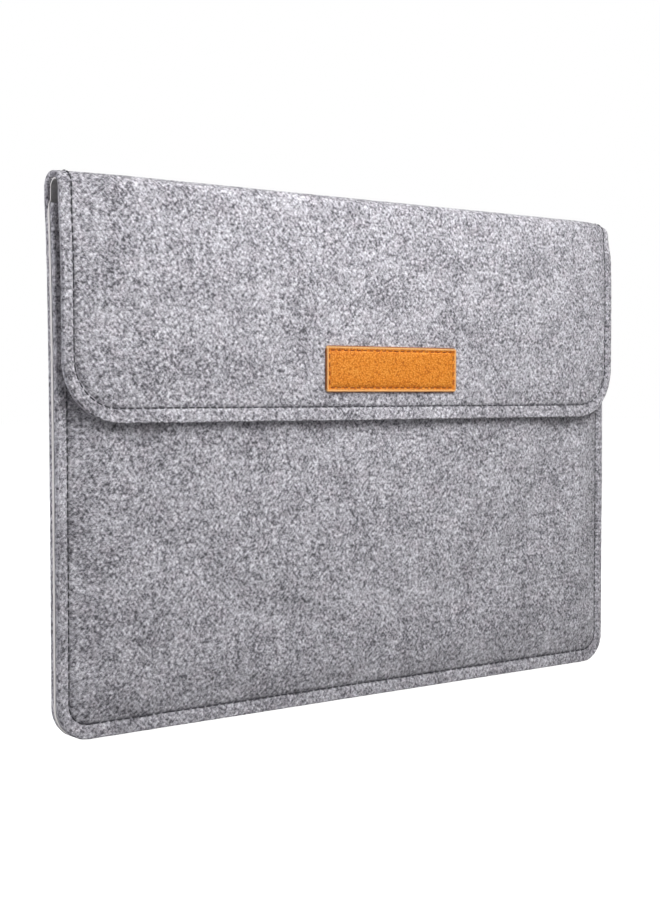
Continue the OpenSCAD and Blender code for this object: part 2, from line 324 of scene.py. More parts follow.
def flap_plain(x, v, dents=1):
    """From the flap's lower edge up, round the front bend and back to the top of the rear bend."""
    d = rounded_distance(x, v, FLAP_CORNER_R)
    inset = mix(FLAP_INSET, SEAM_INSET, flap_side(x, v))
    level = FLAP_Y + FLAP_PUFF + FLAP_BOW * towards_end(x, BOW_START) - FLAP_PUFF * puff(d)
    level += dents * (groove(d, inset) - flare(d, inset))
    pinch = FOLD_PINCH * towards_end(x, PINCH_START)
    ease = FLAP_EASE - EASE_SLANT * x / HALF_W
    y = mix(FRONT_FACE + pinch, level, smooth((FLAP_STRAIGHT - v) / ease))
    over = BEND_LEN + SPLIT_Y - FRONT_C
    along = (v - FLAP_STRAIGHT) * (1 - pinch / over)
    turn = np.clip(along / FOLD_R, 0, math.pi / 2)
    flat = np.maximum(along - BEND_LEN, 0)
    y = np.where(v > FLAP_STRAIGHT, FRONT_C + pinch - FOLD_R * np.cos(turn) + flat, y)
    z = np.where(v > FLAP_STRAIGHT, FOLD_Z + FOLD_R * np.sin(turn), FLAP_LOW + v)
    return np.stack([x, y, z - droop(x, z)], -1)


def flap_side(x, v):
    """1 along the flap's sides and 0 along its lower edge, because the stitching runs nearer to the sides."""
    return smooth((v - 0.3 * FLAP_CORNER_R) / FLAP_CORNER_R) * (np.abs(x) > HALF_W - FLAP_CORNER_R)


BACK_LEN = FOLD_Z + BEND_LEN + REAR_C - SPLIT_Y
FLAP_LEN = FLAP_STRAIGHT + BEND_LEN + SPLIT_Y - FRONT_C
TAPE_V = (low("hook_tape_left")[2] + high("hook_tape_left")[2]) / 2 - FLAP_LOW
TAPE_X = (low("hook_tape_right")[0] + high("hook_tape_right")[0]) / 2


def pocket_held(x, v):
    """The pocket's sheets are held all round by the seam, and a little at the mouth."""
    d = pocket_distance(x, v)
    at_mouth = 0.5 * smooth((v - MOUTH + 8 * MM) / (8 * MM))
    return np.maximum(1 - smooth((d - SEAM_INSET) / (4 * MM)), at_mouth)


def flap_held(x, v):
    """The flap is held by the fold and by its two tapes."""
    at_fold = smooth((v - FLAP_STRAIGHT + 14 * MM) / (10 * MM))
    off_tape = np.hypot((np.abs(x) - TAPE_X) / 3, v - TAPE_V)
    return np.maximum(at_fold, 0.9 * (1 - smooth(off_tape / (14 * MM))))


front_drape = Drape(HALF_W, MOUTH)
back_drape = Drape(HALF_W, FOLD_Z)
flap_drape = Drape(HALF_W, FLAP_STRAIGHT)
front_drape.settle("drape_front", front_plain, pocket_held, pressure=0.6, slack=0.004, cap=1.2 * MM)
back_drape.settle("drape_back", back_plain, pocket_held, pressure=-0.6, slack=0.004, cap=1.2 * MM)
flap_drape.settle("drape_flap", flap_plain, flap_held, pressure=0.5, slack=0.003, cap=0.6 * MM)


def draped(plain, drape, top):
    """The plain face moved by its drape, which dies out towards v = top."""

    def place(x, v, dents=1):
        points = plain(x, v, dents)
        points[..., 1] += drape.at(x, v) * (1 - smooth((v - top + 30 * MM) / (28 * MM)))
        return points

    return place


def pocket_pull(x, v):
    return seam_pull(pocket_distance(x, v), SEAM_INSET)


def flap_pull(x, v):
    return seam_pull(rounded_distance(x, v, FLAP_CORNER_R), mix(FLAP_INSET, SEAM_INSET, flap_side(x, v)))


front = Sheet(draped(front_plain, front_drape, MOUTH + 40 * MM), 1, pocket_pull)
back = Sheet(draped(back_plain, back_drape, FOLD_Z), -1, pocket_pull)
flap = Sheet(draped(flap_plain, flap_drape, FLAP_STRAIGHT), 1, flap_pull)


# ---- Turning a face into a piece of cloth with thickness ----

def spread(length, fine_to, fine, coarse, extra=()):
    """Positions from 0 to length, close together up to fine_to and wider after it."""
    near = np.arange(0, fine_to, fine)
    count = max(2, int(round((length - fine_to) / coarse)))
    every = np.concatenate([near, np.linspace(fine_to, length, count + 1), np.array(extra)])
    every = np.unique(np.round(every, 7))
    keep = [every[0]]
    for value in every[1:-1]:
        if value - keep[-1] > 0.4 * fine and every[-1] - value > 0.4 * fine:
            keep.append(value)
    return np.array(keep + [every[-1]])


def columns(fine, coarse):
    side = HALF_W - spread(HALF_W, 13 * MM, fine, coarse)[::-1]
    return np.concatenate([-side[::-1], side[1:]])


def corner_rows(corner):
    return corner * (1 - np.cos(np.radians(np.arange(6, 90, 6))))


def squeeze(xs, half, power):
    """Moves the columns of a row in, so that they end on the outline."""
    share = np.abs(xs) / xs[-1]
    return np.sign(xs) * (np.abs(xs) - (xs[-1] - half) * share**power)


CUT_EDGE = 0.9                                   # how strongly the cut edges get the same painted shade as the felt along its stitching


def build(name, verts, faces, attributes, hard=None):
    """A mesh object that is smooth but for the edges between hard vertices."""
    mesh = bpy.data.meshes.new(name)
    mesh.from_pydata(np.asarray(verts).tolist(), [], [list(map(int, f)) for f in faces])
    mesh.polygons.foreach_set("use_smooth", np.ones(len(mesh.polygons), bool))
    for key, values in attributes.items():
        layer = mesh.attributes.new(key, "FLOAT_VECTOR", "POINT")
        layer.data.foreach_set("vector", np.asarray(values, np.float32).ravel())
    if hard is not None:
        ends = np.zeros(len(mesh.edges) * 2, int)
        mesh.edges.foreach_get("vertices", ends)
        sharp = mesh.attributes.new("sharp_edge", "BOOLEAN", "EDGE")
        sharp.data.foreach_set("value", hard[ends].reshape(-1, 2).all(axis=1))
    mesh.validate()
    obj = bpy.data.objects.new(name, mesh)
    bpy.context.scene.collection.objects.link(obj)
    return obj


def tuck(x, v, distance, reach):
    """Moves the points close to an outline inwards, past the rounding of its edge."""
    step = 0.05 * MM
    d = distance(x, v)
    across = distance(x + step, v) - distance(x - step, v)
    up = distance(x, v + step) - distance(x, v - step)
    size = np.maximum(np.hypot(across, up), 0.5 * step)
    move = np.clip(reach - 0.25 * d, 0, reach)
    return x + across / size * move, v + up / size * move


def shell(name, sheet, xs, vs, half, near, far, round_top=True, edge_r=0.5 * MM, rough=0.12 * MM,
          grain_v=lambda v: v, layers=5, lump=0.1 * MM, power=3, distance=None, meet=None):
    """Cloth between two depths below a sheet's face, with softly rounded, slightly uneven cut edges.

    distance(x, v) is the distance to the outline, and meet(x, v, points) lays the inner face against another sheet.
    """
    x = np.stack([squeeze(xs, float(half(v)), power) for v in vs])
    v = np.repeat(vs[:, None], len(xs), 1)
    rows, cols = x.shape
    thickness = far - near
    radius = min(edge_r, thickness / 2.1)
    ids = np.arange(rows * cols).reshape(rows, cols)
    ring = np.concatenate([ids[0, :-1], ids[:-1, -1], ids[-1, :0:-1], ids[:0:-1, 0]])
    on_top = ring >= ids[-1, 0]
    if distance:
        tucked = np.stack(tuck(x, v, distance, radius + 1.6 * rough), -1).reshape(-1, 2)
        tucked[ring] = np.stack([x, v], -1).reshape(-1, 2)[ring]
        x, v = tucked.reshape(rows, cols, 2).transpose(2, 0, 1)
    grain = np.stack([x, grain_v(v), 0 * x], -1)
    lumps = lump * (noise_at(grain, 3.1 * MM, 3.0) + 0.6 * noise_at(grain, 9 * MM, 7.0))
    normal = sheet.normal(x, v)
    outer = sheet.inside(x, v, near) + normal * lumps[..., None]
    inner = sheet.inside(x, v, far) + normal * (0.5 * lumps)[..., None]
    if meet:
        inner = meet(x, v, inner)

    loop = outer.reshape(-1, 3)[ring]
    loop_n = normal.reshape(-1, 3)[ring]
    tangent = np.roll(loop, -1, 0) - np.roll(loop, 1, 0)
    outward = np.cross(tangent, loop_n) * sheet.side
    if not round_top:
        outward[on_top] = np.where(outward[on_top, :1] > 0, 1.0, -1.0) * np.array([1.0, 0, 0])
        inside = on_top & (ring != ids[-1, 0]) & (ring != ids[-1, -1])
    outward /= np.linalg.norm(outward, axis=1, keepdims=True)
    uneven = rough * noise_at(grain.reshape(-1, 3)[ring], 2.4 * MM, 11.0)

    def pulled(depth):
        """How far the edge is drawn in at a depth through the cloth."""
        e = min(depth, thickness - depth)
        inset = radius - math.sqrt(max(radius**2 - max(radius - e, 0) ** 2, 0))
        move = -inset + uneven - rough
        if not round_top:
            move = np.where(inside, 0, move)
        return outward * move[:, None]

    outer_flat = outer.reshape(-1, 3).copy()
    inner_flat = inner.reshape(-1, 3).copy()
    outer_flat[ring] += pulled(0)
    inner_flat[ring] += pulled(thickness)
    depths = [thickness * (0.5 - 0.5 * math.cos(math.pi * k / (layers + 1))) for k in range(1, layers + 1)]
    a = outer.reshape(-1, 3)[ring]
    b = inner.reshape(-1, 3)[ring]
    sides = [mix(a, b, d / thickness) + pulled(d) for d in depths]
    verts = np.concatenate([outer_flat, inner_flat] + sides)
    grain_flat = grain.reshape(-1, 3)
    lower = grain_flat.copy()
    lower[:, 2] = far
    grain_flat[:, 2] = near
    ring_grain = [grain_flat[ring] + [0, 0, d] for d in depths]
    grain_all = np.concatenate([grain_flat, lower] + ring_grain) / MM

    count = rows * cols
    quads = np.stack([ids[:-1, :-1], ids[:-1, 1:], ids[1:, 1:], ids[1:, :-1]], -1).reshape(-1, 4)
    faces = [quads, quads[:, ::-1] + count]
    starts = [ring] + [2 * count + k * len(ring) + np.arange(len(ring)) for k in range(layers)] + [ring + count]
    for upper, under in zip(starts[:-1], starts[1:]):
        faces.append(np.stack([upper, under, np.roll(under, -1), np.roll(upper, -1)], -1))
    faces = np.concatenate(faces)
    if sheet.side < 0:
        faces = faces[:, ::-1]
    hard = None
    if not round_top:
        hard = np.zeros(len(verts), bool)
        for start in starts:
            hard[start[on_top]] = True
    # the mask the materials read: the stitching's pull on the outer face, none on the inner face, CUT_EDGE on the
    # cut edges; the felt darkens it as painted shade
    stitch_and_edge_mask = np.concatenate([sheet.pull(x, v).ravel(), np.zeros(count), np.full(len(verts) - 2 * count, CUT_EDGE)])
    return build(name, verts, faces, {"sheet": grain_all, "stitch_and_edge_mask": np.stack([stitch_and_edge_mask] * 3, -1)}, hard)


# ---- Stitches ----

def stitch_mesh(name, sheet, routes, lift=0.16 * MM, radius=THREAD_R, length=STITCH_LEN):
    """Twisted stitches that dive into the cloth at both ends. A route is (function of distance, total length)."""
    rings, sides = 11, 10
    t = np.linspace(-1, 1, rings)
    parts, grains, faces, base = [], [], [], 0
    for route, total in routes:
        count = max(1, int(total / STITCH_PITCH))
        middles = (np.arange(count) + 0.5) * total / count
        wander = np.array([noise.noise(Vector((m / MM * 0.37, 5.1, total / MM))) for m in middles])
        spots = middles[:, None] + t[None, :] * length / 2
        x, v = route(spots)
        normal = sheet.normal(x, v)
        height = lift * (1 - np.abs(t) ** 2.2) - 1.3 * radius * np.abs(t) ** 5
        centre = sheet.place(x, v) + normal * (height[None, :, None] + 0.08 * MM * wander[:, None, None])
        along = np.gradient(centre, axis=1)
        along /= np.linalg.norm(along, axis=-1, keepdims=True)
        across = np.cross(normal, along)
        centre += across * (0.09 * MM * wander)[:, None, None] * t[None, :, None]
        up = np.cross(along, across)
        around = np.linspace(0, 2 * np.pi, sides, endpoint=False)
        twist = around[None, :] - t[:, None] * length / MM * 1.9
        girth = radius * (1 + 0.16 * np.cos(2 * twist)) * (1 - 0.35 * np.abs(t[:, None]) ** 6)
        offset = (across[:, :, None] * np.cos(around)[None, None, :, None]
                  + up[:, :, None] * np.sin(around)[None, None, :, None])
        points = centre[:, :, None] + offset * girth[None, :, :, None]
        parts.append(points.reshape(-1, 3))
        grain = np.zeros(points.shape)
        grain[..., 0] = np.cos(2 * twist)[None]
        grain[..., 1] = (spots / MM)[:, :, None]
        grain[..., 2] = wander[:, None, None]
        grains.append(grain.reshape(-1, 3))
        one = np.arange(rings * sides).reshape(rings, sides)
        quads = np.stack([one[:-1], np.roll(one, -1, 1)[:-1], np.roll(one, -1, 1)[1:], one[1:]], -1)
        quads = quads.reshape(-1, 4)
        for k in range(count):
            start = base + k * rings * sides
            faces.extend((quads + start).tolist())
            faces.append((one[0][::-1] + start).tolist())
            faces.append((one[-1] + start).tolist())
        base += count * rings * sides
    return build(name, np.concatenate(parts), faces, {"strand": np.concatenate(grains)})


def u_route(inset_side, inset_low, top, corner):
    """Down the left side, along the bottom and up the right side, as a function of distance, and its length."""
    half = HALF_W - inset_side
    side = top - inset_low - corner
    arc = math.pi / 2 * corner
    base = 2 * (half - corner)

    def route(s):
        turn_1 = np.clip((s - side) / corner, 0, math.pi / 2)
        turn_2 = np.clip((s - side - arc - base) / corner, 0, math.pi / 2)
        across = np.clip(s - side - arc, 0, base)
        up = np.maximum(s - side - 2 * arc - base, 0)
        x = -half + corner * (1 - np.cos(turn_1)) + across + corner * np.sin(turn_2)
        down = np.minimum(s, side)
        v = top - down - corner * np.sin(turn_1) + corner * (1 - np.cos(turn_2)) + up
        return x, v

    return route, 2 * side + 2 * arc + base


def line_route(x0, v0, x1, v1):
    total = math.hypot(x1 - x0, v1 - v0)
    return lambda s: (x0 + (x1 - x0) * s / total, v0 + (v1 - v0) * s / total), total


def box_routes(cx, cv, w, h):
    """A rectangle of stitching, whose sides stop a little short of the corners of the rows above and below."""
    gap = 0.9 * MM
    x0, x1, v0, v1 = cx - w / 2, cx + w / 2, cv - h / 2, cv + h / 2
    return [
        line_route(x0, v0, x1, v0), line_route(x0, v1, x1, v1),
        line_route(x0, v0 + gap, x0, v1 - gap), line_route(x1, v0 + gap, x1, v1 - gap)]


# ---- Node materials ----

class Material:
    """A node material under construction around one Principled shader."""

    def __init__(self, name, coordinates=None):
        self.data = bpy.data.materials.new(name)
        self.data.use_nodes = True
        self.tree = self.data.node_tree
        self.shader = self.tree.nodes["Principled BSDF"]
        self.place = None
        if coordinates:
            source = self.tree.nodes.new("ShaderNodeAttribute")
            source.attribute_name = coordinates
            self.place = source.outputs["Vector"]

    def node(self, kind, inputs, out=0, **settings):
        """Adds a node; inputs maps a socket's name or number to a value or to another node's output."""
        made = self.tree.nodes.new("ShaderNode" + kind)
        for key, value in settings.items():
            setattr(made, key, value)
        for key, value in inputs.items():
            if isinstance(value, bpy.types.NodeSocket):
                self.tree.links.new(value, made.inputs[key])
            else:
                made.inputs[key].default_value = value
        return made.outputs[out]

    def math(self, kind, a, b=0.0, c=0.0):
        return self.node("Math", {0: a, 1: b, 2: c}, operation=kind)

    def warp(self, scale, turn=0.0, source=None):
        """The coordinates turned about the sheet's normal by turn degrees and then scaled."""
        turned = self.node("VectorRotate", {"Vector": source or self.place, "Angle": math.radians(turn)},
                           rotation_type="Z_AXIS")
        return self.node("VectorMath", {0: turned, 1: scale}, operation="MULTIPLY")

    def noise(self, scale, turn=0.0, detail=2.0, rough=0.5, offset=0.0):
        """Noise whose features are 1 / scale mm in size."""
        place = self.warp(scale, turn)
        moved = self.node("VectorMath", {0: place, 1: (offset, offset, offset)}, operation="ADD")
        return self.node("TexNoise", {"Vector": moved, "Scale": 1.0, "Detail": detail, "Roughness": rough})

    def ramp(self, value, stops):
        """A colour ramp; stops are (position, (r, g, b))."""
        made = self.tree.nodes.new("ShaderNodeValToRGB")
        bands = made.color_ramp.elements
        while len(bands) < len(stops):
            bands.new(0.5)
        for band, (position, colour) in zip(bands, stops):
            band.position = position
            band.color = (*colour, 1)
        self.tree.links.new(value, made.inputs[0])
        return made.outputs[0]

    def blend(self, a, b, share, kind="MIX"):
        return self.node("Mix", {0: share, 6: a, 7: b}, out=2, data_type="RGBA", blend_type=kind)

    def stitch_and_edge_mask(self, start, full, share):
        """Rises to a share along the stitching and on the cut edges; the felt takes it as painted shade."""
        source = self.tree.nodes.new("ShaderNodeAttribute")
        source.attribute_name = "stitch_and_edge_mask"
        return self.node("MapRange", {0: source.outputs["Fac"], 1: start, 2: full, 3: 0.0, 4: share})

    def bump(self, height, distance, strength=1.0, under=None):
        inputs = {"Height": height, "Distance": distance, "Strength": strength}
        if under is not None:
            inputs["Normal"] = under
        return self.node("Bump", inputs)

    def set(self, **inputs):
        for key, value in inputs.items():
            socket = self.shader.inputs[key.replace("_", " ")]
            if isinstance(value, bpy.types.NodeSocket):
                self.tree.links.new(value, socket)
            else:
                socket.default_value = value


def linear(r, g, b):
    """An sRGB colour out of 255 as the linear light values that shaders take."""
    def one(c):
        c /= 255
        return c / 12.92 if c <= 0.04045 else ((c + 0.055) / 1.055) ** 2.4
    return one(r), one(g), one(b)


def felt_material():
    """Heather felt: light and dark fibres lying in every direction over a grey ground."""
    m = Material("felt_heather", "sheet")
    strands = [m.noise((0.92, 0.3, 0.8), turn, 2.0, 0.5, offset)
               for turn, offset in ((38, 3.0), (-42, 17.0), (83, 29.0))]
    tufts = m.noise((0.66, 0.66, 0.66), 0, 2.0, 0.55, 41.0)
    flecks = m.noise((2.3, 0.8, 2.0), 62, 1.0, 0.5, 37.0)
    clouds = m.noise((0.2, 0.2, 0.2), 0, 1.0, 0.5, 47.0)
    mottle = m.noise((0.05, 0.05, 0.05), 0, 2.0, 0.5, 53.0)
    tint = m.noise((0.11, 0.11, 0.11), 0, 2.0, 0.5, 71.0)
    pair = m.math("ADD", strands[0], strands[1])
    all_strands = m.math("MULTIPLY_ADD", strands[2], 0.6, pair)
    value = m.math("MULTIPLY_ADD", tufts, 1.4, all_strands)
    value = m.math("MULTIPLY_ADD", flecks, 0.8, value)
    value = m.math("MULTIPLY_ADD", clouds, 0.5, value)
    value = m.math("MULTIPLY_ADD", mottle, 0.5, value)
    value = m.node("MapRange", {0: value, 1: 2.44, 2: 3.36, 3: 0.0, 4: 1.0})
    colour = m.ramp(value, [
        (0.0, linear(84, 83, 88)), (0.25, linear(132, 130, 137)), (0.5, linear(178, 176, 183)),
        (0.75, linear(212, 210, 217)), (1.0, linear(244, 243, 248))])
    pinkish = m.node("MapRange", {0: tint, 1: 0.48, 2: 0.75, 3: 0.0, 4: 0.6})
    colour = m.blend(colour, (1.0, 0.95, 0.96, 1), pinkish, "MULTIPLY")
    # painted shade: darker in the stitch grooves and on the cut edges, where little light reaches
    colour = m.blend(colour, (0.25, 0.25, 0.27, 1), m.stitch_and_edge_mask(0.3, 1.0, 0.45), "MULTIPLY")
    fine = m.noise((2.6, 0.9, 2.4), 20, 2.0, 0.6, 83.0)
    relief = m.math("MULTIPLY_ADD", fine, 0.4, value)
    m.set(Base_Color=colour, Roughness=0.95, Normal=m.bump(relief, 0.3 * MM, 0.7))
    m.set(**{"Sheen_Weight": 0.25, "Sheen_Roughness": 0.6, "Specular_IOR_Level": 0.15})
    return m.data


def lining_material():
    """Soft brushed lining, paler than the felt, with a short pile that lies in soft patches."""
    m = Material("lining_brushed", "sheet")
    pile = m.noise((2.4, 1.5, 2.0), 12, 3.0, 0.6, 5.0)
    lay = m.noise((0.09, 0.14, 0.1), 0, 3.0, 0.55, 13.0)
    value = m.math("MULTIPLY_ADD", lay, 0.7, m.math("MULTIPLY", pile, 0.6))
    value = m.node("MapRange", {0: value, 1: 0.42, 2: 0.88, 3: 0.0, 4: 1.0})
    colour = m.ramp(value, [
        (0.0, linear(172, 170, 172)), (0.5, linear(196, 194, 195)), (1.0, linear(218, 216, 217))])
    colour = m.blend(colour, (*linear(255, 251, 249), 1), m.stitch_and_edge_mask(0.1, 0.8, 0.95))
    m.set(Base_Color=colour, Roughness=0.9, Normal=m.bump(pile, 0.2 * MM, 0.7))
    m.set(**{"Sheen_Weight": 0.4, "Sheen_Roughness": 0.45, "Specular_IOR_Level": 0.2})
    return m.data


def thread_material(name, dark, light, sheen=0.2):
    """Twisted thread: painted highlight along the crown of each ply and painted shade in the grooves between plies.
    """
    m = Material(name, "strand")
    parts = m.node("SeparateXYZ", {0: m.place})
    # painted highlight and shade: lighter on each ply's crown, darker in the grooves between plies
    ply = m.node("MapRange", {0: parts, 1: -1.0, 2: 1.0, 3: 0.0, 4: 1.0})
    fibre = m.noise((6.0, 5.0, 3.0), 0, 2.0, 0.6, 9.0)
    value = m.math("MULTIPLY_ADD", fibre, 0.6, m.math("MULTIPLY", ply, 0.6))
    colour = m.ramp(value, [(0.15, linear(*dark)), (0.85, linear(*light))])
    m.set(Base_Color=colour, Roughness=0.6, Normal=m.bump(fibre, 0.06 * MM, 0.6))
    m.set(**{"Sheen_Weight": sheen})
    return m.data


def leather_material(width, height):
    """Tan pebbled leather of a given size in mm: darker in the creases, paler along its rim as wear and as painted
    highlight, with a thin darker line at its very edge.
    """
    m = Material("leather_tan", "sheet")
    cells = m.node("TexVoronoi", {"Vector": m.warp((1.15, 1.35, 1.2), 8), "Scale": 1.0, "Randomness": 0.95,
                                  "Smoothness": 0.5}, feature="SMOOTH_F1")
    pores = m.noise((3.6, 3.6, 3.6), 0, 2.0, 0.6, 21.0)
    patch = m.noise((0.1, 0.12, 0.12), 0, 3.0, 0.55, 33.0)
    pebble = m.math("SUBTRACT", 1.0, cells)
    value = m.math("MULTIPLY_ADD", pores, 0.2, m.math("MULTIPLY_ADD", patch, 0.12, m.math("MULTIPLY", pebble, 0.5)))
    value = m.node("MapRange", {0: value, 1: 0.2, 2: 0.66, 3: 0.0, 4: 1.0})
    colour = m.ramp(value, [
        (0.0, linear(190, 96, 18)), (0.5, linear(234, 140, 38)), (1.0, linear(255, 190, 90))])
    parts = m.tree.nodes.new("ShaderNodeSeparateXYZ")
    m.tree.links.new(m.place, parts.inputs[0])
    from_side = m.math("SUBTRACT", width / 2, m.math("ABSOLUTE", parts.outputs["X"]))
    from_middle = m.math("ABSOLUTE", m.math("SUBTRACT", parts.outputs["Y"], height / 2))
    from_edge = m.math("MINIMUM", from_side, m.math("SUBTRACT", height / 2, from_middle))
    # paler rim: partly worn, burnished leather, partly painted highlight where the raised rim catches the light
    rim_wear_and_highlight = m.node("MapRange", {0: from_edge, 1: 1.6, 2: 0.9, 3: 0.0, 4: 0.8})
    colour = m.blend(colour, (*linear(255, 205, 140), 1), rim_wear_and_highlight)
    # a thin darker brown line along the outermost edge
    dark_outline = m.node("MapRange", {0: from_edge, 1: 0.35, 2: 0.0, 3: 0.0, 4: 0.85})
    colour = m.blend(colour, (*linear(150, 74, 24), 1), dark_outline)
    gloss = m.node("MapRange", {0: value, 1: 0.0, 2: 1.0, 3: 0.62, 4: 0.45})
    surface = m.bump(pores, 0.05 * MM, 0.4, m.bump(pebble, 0.3 * MM, 0.8))
    m.set(Base_Color=colour, Roughness=gloss, Normal=surface)
    m.set(**{"Specular_IOR_Level": 0.35})
    return m.data


def tape_material(name, dark, light):
    """Woven tape: a fine plain weave of crossing ribs."""
    m = Material(name, "sheet")
    warp_rib = m.node("TexWave", {"Vector": m.place, "Scale": 0.55, "Distortion": 0.4}, out=1, bands_direction="X")
    weft_rib = m.node("TexWave", {"Vector": m.place, "Scale": 0.55, "Distortion": 0.4}, out=1, bands_direction="Y")
    weave = m.math("MULTIPLY", warp_rib, weft_rib)
    fuzz = m.noise((3.0, 3.0, 3.0), 0, 2.0, 0.6, 15.0)
    value = m.math("MULTIPLY_ADD", fuzz, 0.5, m.math("MULTIPLY", weave, 0.6))
    colour = m.ramp(value, [(0.15, linear(*dark)), (0.85, linear(*light))])
    m.set(Base_Color=colour, Roughness=0.75, Normal=m.bump(value, 0.2 * MM, 0.7))
    m.set(**{"Sheen_Weight": 0.2})
    return m.data


FLOOR_LIFT = 1.0                                 # how bright the floor looks to the camera on its own


def floor_material():
    """Pale and matt; what the camera sees of it is lifted, so that it meets the backdrop without a line."""
    m = Material("floor_pale")
    seen = m.node("LightPath", {})
    m.set(Base_Color=(0.35, 0.35, 0.35, 1), Roughness=0.9, Emission_Strength=m.math("MULTIPLY", seen, FLOOR_LIFT))
    m.set(**{"Emission_Color": (1, 1, 1, 1)})
    return m.data


# ---- The pieces ----

def finish(obj, material, nodes, body=None, bend=None):
    """Gives a piece its material and hides the CAD nodes it replaces; with a body it is parented to that body's
    empty, with a bend only its transform is baked.
    """
    obj.data.materials.append(material)
    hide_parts(*nodes)
    if bend:
        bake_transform(obj)
    else:
        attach(obj, body)
    return obj


# Both bends are measured on the lining's inner face.
REAR_BEND = ("pocket", "fold", (0, REAR_FACE - PLIES, FOLD_Z), (0, REAR_C, TOP - PLIES))
FRONT_BEND = ("fold", "flap", (0, FRONT_C, TOP - PLIES), (0, FRONT_FACE + PLIES, FOLD_Z))
STEP = 1.4 * MM      # spacing of the meshes' rows and columns
FINE = 0.6 * MM      # the same near the edges


def rows_to(length, corner, bend_at=None):
    """Rows up a sheet: close by the lower edge and corners, and round a bend that starts at bend_at."""
    extra = list(corner_rows(corner))
    if bend_at is not None:
        extra += list(bend_at + np.linspace(0, BEND_LEN, 15))
    return spread(length, 13 * MM, FINE, STEP, extra)


def pocket_half(v):
    return rounded_half(v, CORNER_R)


def front_lining_half(v):
    """The lining shows a little outside the felt in the side seams."""
    return pocket_half(v) + LINING_PROUD


def back_lining_half(v):
    """The lining's edge draws in from the seam over the fold's rear face."""
    drawn_in = float(smooth((v - MOUTH + 4 * MM) / (FOLD_Z - MOUTH)))
    return front_lining_half(v) - (LINING_INSET + LINING_PROUD) * drawn_in


def pocket_outline(x, v):
    return rounded_distance(x, v, CORNER_R)


def seam_meet(side):
    """In the seam the two linings lie flat against each other; side is 1 for the back and -1 for the front."""

    def meet(x, v, points):
        plane = SEAM_Y + seam_lean(v) + side * 0.03 * MM
        share = (1 - smooth((pocket_distance(x, v) - SEAM_INSET) / (3 * MM))) * smooth((MOUTH - v) / (6 * MM))
        y = mix(points[..., 1], plane, share)
        below = v < MOUTH
        points[..., 1] = np.where(below & (side * (y - plane) < 0), plane, y)
        return points

    return meet


def flap_half(v):
    return rounded_half(v, FLAP_CORNER_R)


def flap_outline(x, v):
    return rounded_distance(x, v, FLAP_CORNER_R)


def flap_lining_half(v):
    return rounded_half(v - LINING_INSET, FLAP_CORNER_R - LINING_INSET) - LINING_INSET


def flap_grain(v):
    """Carries on from the back's felt, so that no line shows where the fold is divided."""
    return BACK_LEN + FLAP_LEN - v


def front_grain(v):
    """Another part of the felt than the back's."""
    return v - 500 * MM


felt = felt_material()
lining = lining_material()
thread = thread_material("thread_grey", (24, 24, 28), (74, 74, 80))
label_thread_look = thread_material("thread_brown", (96, 40, 4), (176, 88, 20), 0.0)
loop_look = tape_material("loop_tape_woven", (52, 52, 57), (104, 104, 110))
hook_look = tape_material("hook_tape_woven", (40, 40, 45), (84, 84, 90))

lining_near = FELT_T + PLY_GAP
lining_far = lining_near + LINING_T
wide = columns(FINE, STEP)
back_rows = rows_to(BACK_LEN, CORNER_R, FOLD_Z)
front_rows = rows_to(MOUTH, CORNER_R)
flap_rows = rows_to(FLAP_LEN, FLAP_CORNER_R, FLAP_STRAIGHT)

finish(shell("back_felt", back, wide, back_rows, pocket_half, 0.0, FELT_T, round_top=False,
             distance=pocket_outline),
       felt, ["back_panel", "fold_felt"], bend=REAR_BEND)
finish(shell("flap_felt_sheet", flap, wide, flap_rows, flap_half, 0.0, FELT_T, round_top=False,
             grain_v=flap_grain, distance=flap_outline),
       felt, ["flap_felt", "fold_felt"], bend=FRONT_BEND)
finish(shell("front_felt", front, wide, front_rows, pocket_half, 0.0, FELT_T, grain_v=front_grain,
             distance=pocket_outline),
       felt, ["front_panel"], body="pocket")

lining_cols = columns(FINE, 2.6 * MM)
SOFT = dict(edge_r=0.25 * MM, rough=0.15 * MM, layers=3, lump=0.04 * MM)


def every_other(rows):
    return rows[::2] if len(rows) % 2 else np.append(rows[::2], rows[-1])


finish(shell("back_lining_sheet", back, lining_cols, every_other(back_rows), back_lining_half, lining_near,
             lining_far, round_top=False, distance=pocket_outline, meet=seam_meet(1), **SOFT),
       lining, ["back_lining", "fold_lining"], bend=REAR_BEND)
facing_rows = every_other(flap_rows[flap_rows > LINING_INSET])
finish(shell("flap_lining_sheet", flap, lining_cols, facing_rows, flap_lining_half, lining_near,
             lining_far, round_top=False, grain_v=flap_grain, **SOFT),
       lining, ["flap_facing", "fold_lining"], bend=FRONT_BEND)
finish(shell("front_lining_sheet", front, lining_cols, every_other(front_rows), front_lining_half, lining_near,
             lining_far, grain_v=front_grain, distance=pocket_outline, meet=seam_meet(-1), **SOFT),
       lining, ["front_lining"], body="pocket")

finish(stitch_mesh("front_seam_stitches", front,
                   [u_route(SEAM_INSET, BOTTOM_INSET, MOUTH - 2 * MM, CORNER_R - SEAM_INSET)]),
       thread, ["seam_thread_front"], body="pocket")
finish(stitch_mesh("back_seam_stitches", back,
                   [u_route(SEAM_INSET, BOTTOM_INSET, BACK_LEN, CORNER_R - SEAM_INSET)]),
       thread, ["seam_thread_back", "fold_thread"], bend=REAR_BEND)
finish(stitch_mesh("flap_stitches", flap,
                   [u_route(SEAM_INSET, FLAP_INSET, FLAP_LEN, FLAP_CORNER_R - FLAP_INSET)]),
       thread, ["flap_thread", "fold_thread"], bend=FRONT_BEND)
mouth_v = MOUTH - MOUTH_INSET
mouth_x = high("mouth_thread")[0]
finish(stitch_mesh("mouth_stitches", front, [line_route(-mouth_x, mouth_v, mouth_x, mouth_v)]),
       thread, ["mouth_thread"], body="pocket")


# ---- The leather label ----

